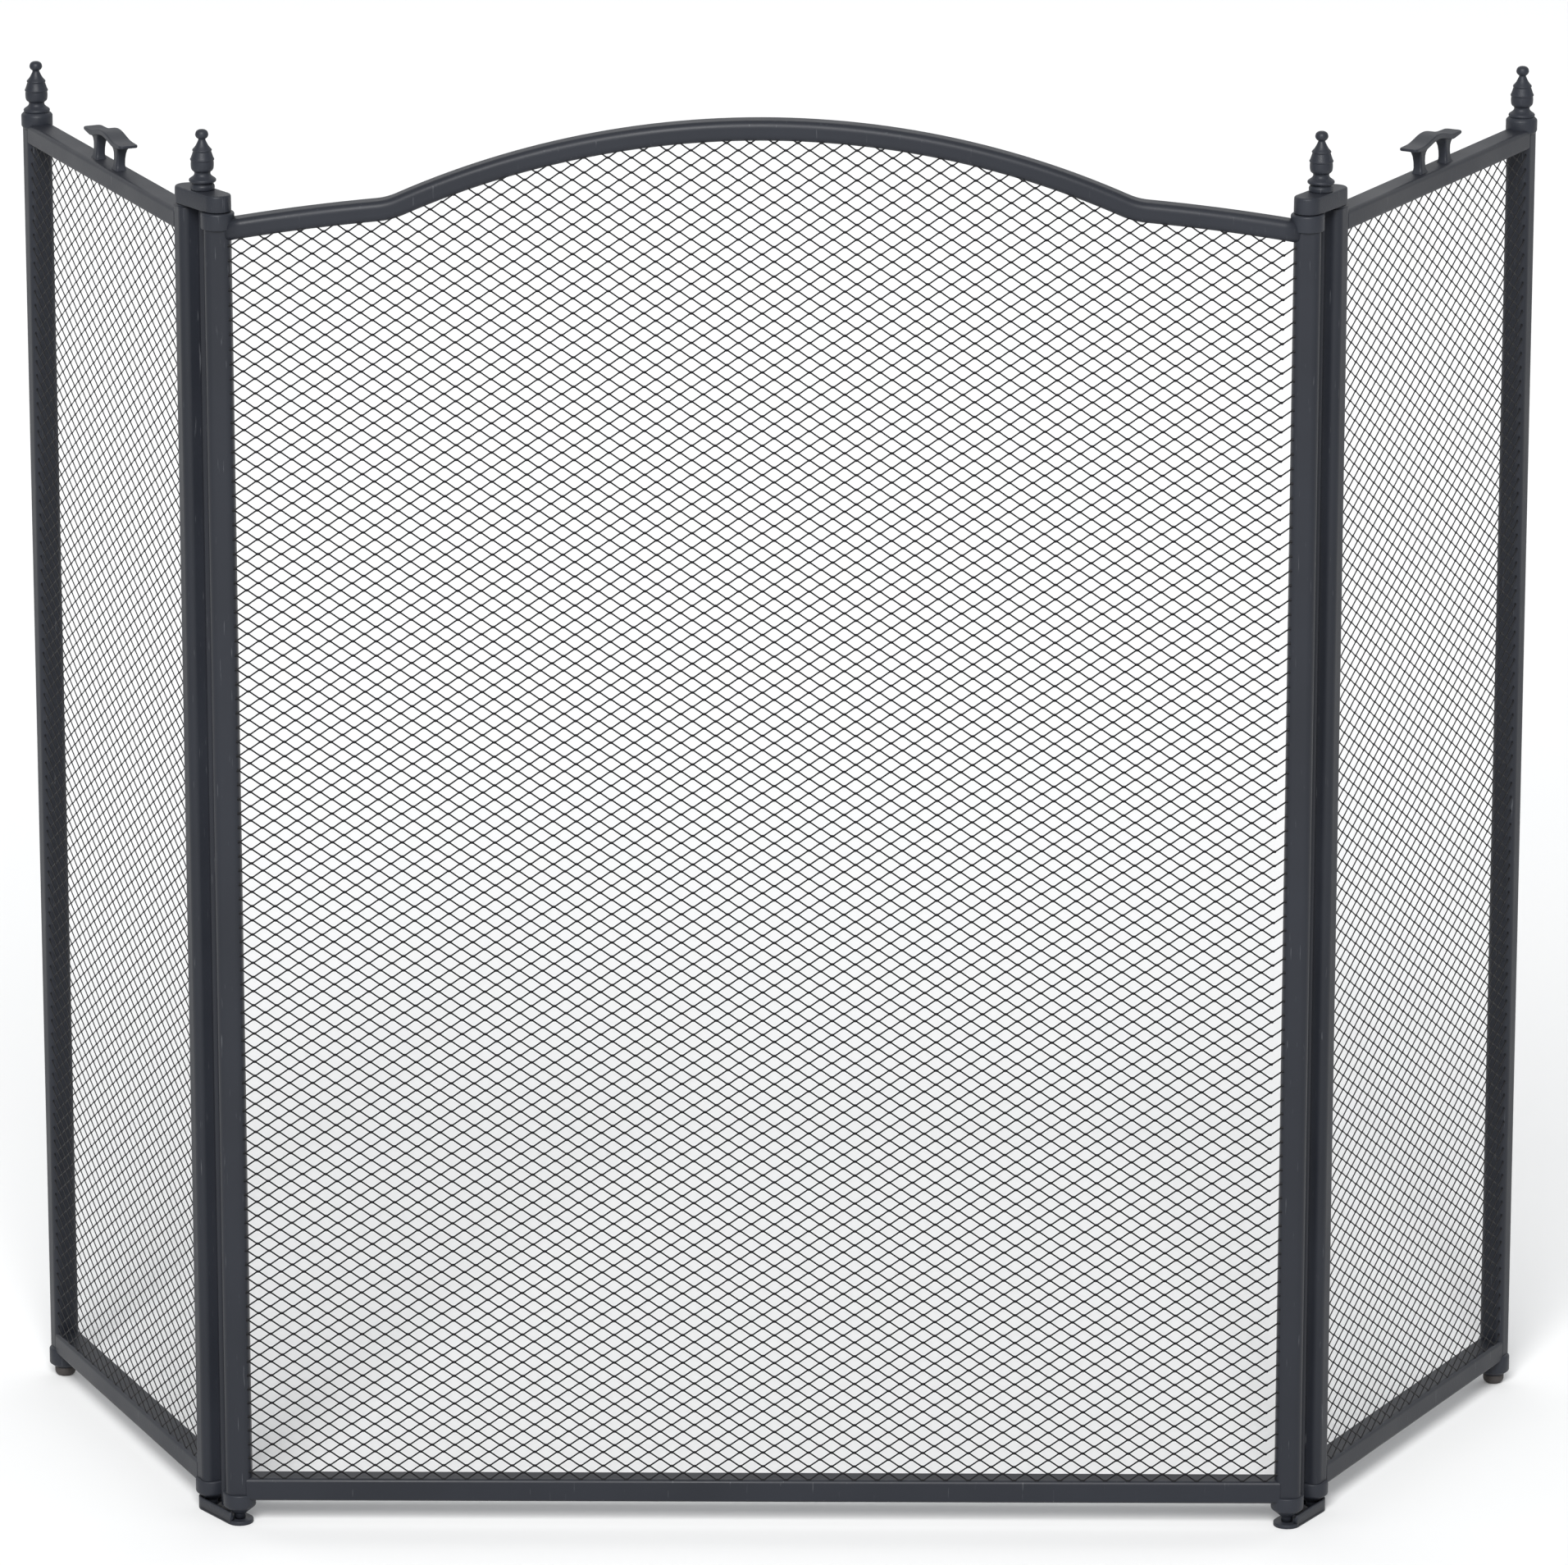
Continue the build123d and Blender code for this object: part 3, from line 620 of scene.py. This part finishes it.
def hinge_cap(side):
    """Cast oblong over both stile tops, with a rounded upper edge and a shallow draft."""
    low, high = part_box(f"{side}_hinge_cap")
    z0, z1 = low.z / MM, high.z / MM
    outline = [(0.05, z0), (CAP_R - 0.5, z0), (CAP_R - 0.12, z0 + 0.1), (CAP_R, z0 + 0.5),
               (CAP_R - 0.1, z1 - 1.6), *rounded(CAP_R - 0.15, z1, -1.1, -1.1, 6), (CAP_R - 1.8, z1),
               (CAP_R - 5, z1), (0.05, z1)]
    points, faces = stadium_block(np.array(outline) * MM, LINK_L)
    add_piece(f"{side}_hinge_cap_cast", points, faces, f"{side}_link", [f"{side}_hinge_cap"],
              "casting_paint", LINK_FRAME[side])


def link_plate(side):
    """Floor plate as a stack of oblongs, and its stepped rim carried along the front and the wing end."""
    floor = [(0.05, 0.0), (PLATE_R - 0.4, 0.0), (PLATE_R - 0.1, 0.12), (PLATE_R, 0.4), (PLATE_R, 1.8),
             (PLATE_R - 0.1, 2.08), (PLATE_R - 0.4, 2.2), (0.05, 2.2)]
    points, faces = stadium_block(np.array(floor) * MM, LINK_L)
    points, faces = handed(points, faces, side)
    add_piece(f"{side}_link_plate_floor", points, faces, f"{side}_link", [f"{side}_link_plate"],
              "casting_paint", LINK_FRAME[side])
    inward = np.array([(0, 1.0), (0, 6.7), (0.1, 7.05), (0.35, 7.2), (1.05, 7.2), (1.3, 7.1), (1.4, 6.8),
                       (1.42, 5.5), (1.6, 5.1), (2.0, 5.0), (2.5, 5.0), (2.8, 4.9), (2.9, 4.6),
                       (2.9, 1.0)]) * MM
    along_front = np.array([(-1.5, 0.0), (-1.3, 0.0), (2.0, 0.0)]) * MM
    turn = np.linspace(-math.pi / 2, math.pi / 2, 24)
    path = np.vstack([along_front, np.tile((LINK_L, 0.0), (len(turn), 1))])
    front_way = np.tile((0.0, -1.0), (len(along_front), 1))
    out = np.vstack([front_way, np.stack([np.cos(turn), np.sin(turn)], 1)])
    reach = PLATE_R * MM - inward[:, 0]
    xy = path[:, None] + out[:, None] * reach[None, :, None]
    rings = np.concatenate([xy, np.broadcast_to(inward[None, :, 1:], (*xy.shape[:2], 1))], axis=2)
    points, faces = handed(rings[::-1], skin(rings), side)
    add_piece(f"{side}_link_plate_rim", points, faces, f"{side}_link", [f"{side}_link_plate"],
              "casting_paint", LINK_FRAME[side])


# ---- handles -----------------------------------------------------------------------------------
# Millimetres, along the rail, across it, and up from its top face.
HANDLE_X, GRIP_TIP, POST_X, LEAN = 124.5, 29.5, 16.0, 1.2
GRIP_Z, GRIP_W, HUMP_H, HUMP_X = 14.0, 11.0, 3.3, 21.0
PLAN_R, TIP_FROM, TIP_RUN = 2.0, 19.0, 10.5


def grip_heights(s):
    """Upper and lower face of the grip: a hump of HUMP_H * (1 + cos(pi * s / HUMP_X)) / 2 between flat
    tips that thin to their ends."""
    a = np.abs(s)
    hump = HUMP_H * (1 + np.cos(math.pi * np.minimum(a, HUMP_X) / HUMP_X)) / 2
    tip = np.clip((a - TIP_FROM) / TIP_RUN, 0, 1)
    return GRIP_Z + 1.7 + hump - 0.2 * tip, GRIP_Z - 1.5 + 1.5 * tip + hump


def grip():
    """Rounded rectangle lofted along the grip, with the tips rounded off in plan."""
    start = np.array([0, 0.12, 0.5, 1.1, 2.0, 3.0])
    length = 2 * GRIP_TIP
    t = np.concatenate([start, np.linspace(4.5, length - 4.5, 44), length - start[::-1]])
    s = t - GRIP_TIP
    end = np.clip(PLAN_R - (GRIP_TIP - np.abs(s)), 0, PLAN_R)
    half = GRIP_W / 2 - (PLAN_R - np.sqrt(PLAN_R**2 - end**2)) * 0.98
    top, under = grip_heights(s)
    rings = []
    for x, w, hi, lo in zip(s, half, top, under):
        loop = rounded_loop(2 * w, hi - lo, min(0.7, 0.4 * (hi - lo)), 4, 0.1)
        middle_z = (hi + lo) / 2
        rings.append(np.column_stack([np.full(len(loop), x), loop[:, 0] + LEAN, loop[:, 1] + middle_z]))
    return np.stack(rings)


def post(x):
    """Post from the rail to the grip: a rounded rectangle that leans back and flares at both ends.

    A flare is its size at that end * exp(-distance from the end / its decay length).
    """
    h = np.array([-0.6, 0.0, 0.3, 0.8, 1.6, 3.0, 6.0, 9.0, 11.0, 12.2, 13.2, 14.0, 14.6])
    widest = 13.2
    flare_low = 1.9 * np.exp(-np.maximum(h, 0) / 1.6)
    flare_top = 2.6 * np.exp(-np.maximum(widest - h, 0) / 2.0)
    grow = np.clip(h / GRIP_Z, 0, 1)
    along = 2.7 + 0.3 * grow + flare_low + flare_top
    across = 2.4 + 0.3 * grow + 0.5 * flare_low + 0.6 * np.minimum(flare_top, 2)
    rings = []
    for a, c, z, lean in zip(along, across, h, LEAN * grow):
        loop = rounded_loop(2 * a, 2 * c, 1.2, 4, 0.1)
        rings.append(np.column_stack([loop[:, 0] + x, loop[:, 1] + lean, np.full(len(loop), z)]))
    return np.stack(rings)


def handle(side):
    """Grip and two posts on the wing's top rail."""
    lift = np.array([HANDLE_X, 0, WING_RAIL[1] / MM])
    for name, rings in (("grip", grip()), ("inner_post", post(-POST_X)), ("outer_post", post(POST_X))):
        points, faces = handed((rings + lift) * MM, skin(rings), side)
        add_piece(f"{side}_wing_handle_{name}", points, faces, f"{side}_wing", [f"{side}_wing_handle"],
                  "casting_paint", WING_FRAME[side])


for s in SIDES:
    hinge_cap(s)
    link_plate(s)
    handle(s)


# ---- floor, light and camera -------------------------------------------------------------------
def soft_light(name, place, aim, size, power):
    """Rectangular softbox that lights the scene and is not itself seen."""
    data = bpy.data.lights.new(name, "AREA")
    data.shape = "RECTANGLE"
    data.energy = power
    data.size, data.size_y = size
    lamp = bpy.data.objects.new(name, data)
    lamp.location = place
    lamp.rotation_euler = (Vector(aim) - Vector(place)).to_track_quat("-Z", "Y").to_euler()
    lamp.visible_camera = False
    bpy.context.scene.collection.objects.link(lamp)


def studio():
    """Pale paper floor under an even sky that shows the tone of the far floor, with a key from the
    front left, a wash over the floor behind the screen, and two weak side lights."""
    bpy.ops.mesh.primitive_plane_add(size=80)
    floor = bpy.context.object
    floor.name = "floor"
    mat = bpy.data.materials.new("floor_paper")
    mat.use_nodes = True
    shader = mat.node_tree.nodes["Principled BSDF"]
    shader.inputs["Base Color"].default_value = (0.84, 0.84, 0.835, 1)
    shader.inputs["Roughness"].default_value = 0.95
    shader.inputs["Specular IOR Level"].default_value = 0.1
    floor.data.materials.append(mat)
    world = bpy.data.worlds.new("studio")
    bpy.context.scene.world = world
    world.use_nodes = True
    tree = world.node_tree
    seen = tree.nodes["Background"]
    seen.inputs["Color"].default_value = (0.359, 0.367, 0.376, 1)
    seen.inputs["Strength"].default_value = 1.0
    lighting = tree.nodes.new("ShaderNodeBackground")
    lighting.inputs["Color"].default_value = (0.95, 0.97, 1.0, 1)
    lighting.inputs["Strength"].default_value = 0.45
    path = tree.nodes.new("ShaderNodeLightPath")
    pick = tree.nodes.new("ShaderNodeMixShader")
    tree.links.new(path.outputs["Is Camera Ray"], pick.inputs["Fac"])
    tree.links.new(lighting.outputs["Background"], pick.inputs[1])
    tree.links.new(seen.outputs["Background"], pick.inputs[2])
    tree.links.new(pick.outputs["Shader"], tree.nodes["World Output"].inputs["Surface"])
    soft_light("key", (-0.5, -5.1, 4.4), (0, -0.4, 0.2), (2.8, 2.8), 500)
    soft_light("back_wash", (0, 3.6, 2.3), (0, 3.7, 0), (8, 3.4), 92)
    soft_light("side_left", (-2.2, 1.5, 0.9), (-0.35, 0, 0.7), (1.6, 1.5), 4)
    soft_light("side_right", (2.3, 1.3, 0.9), (0.35, 0, 0.7), (1.6, 1.5), 4)


def camera():
    """Long lens from the front, a little above the screen."""
    data = bpy.data.cameras.new("camera")
    data.lens = 213.7
    data.sensor_width = 36.0
    cam = bpy.data.objects.new("camera", data)
    cam.location = (0.0492, -4.9956, 1.8483)
    pitch, yaw = 0.283, -0.009
    look = Vector((math.sin(yaw) * math.cos(pitch), math.cos(yaw) * math.cos(pitch), -math.sin(pitch)))
    cam.rotation_euler = look.to_track_quat("-Z", "Y").to_euler()
    bpy.context.scene.collection.objects.link(cam)
    bpy.context.scene.camera = cam


studio()
camera()
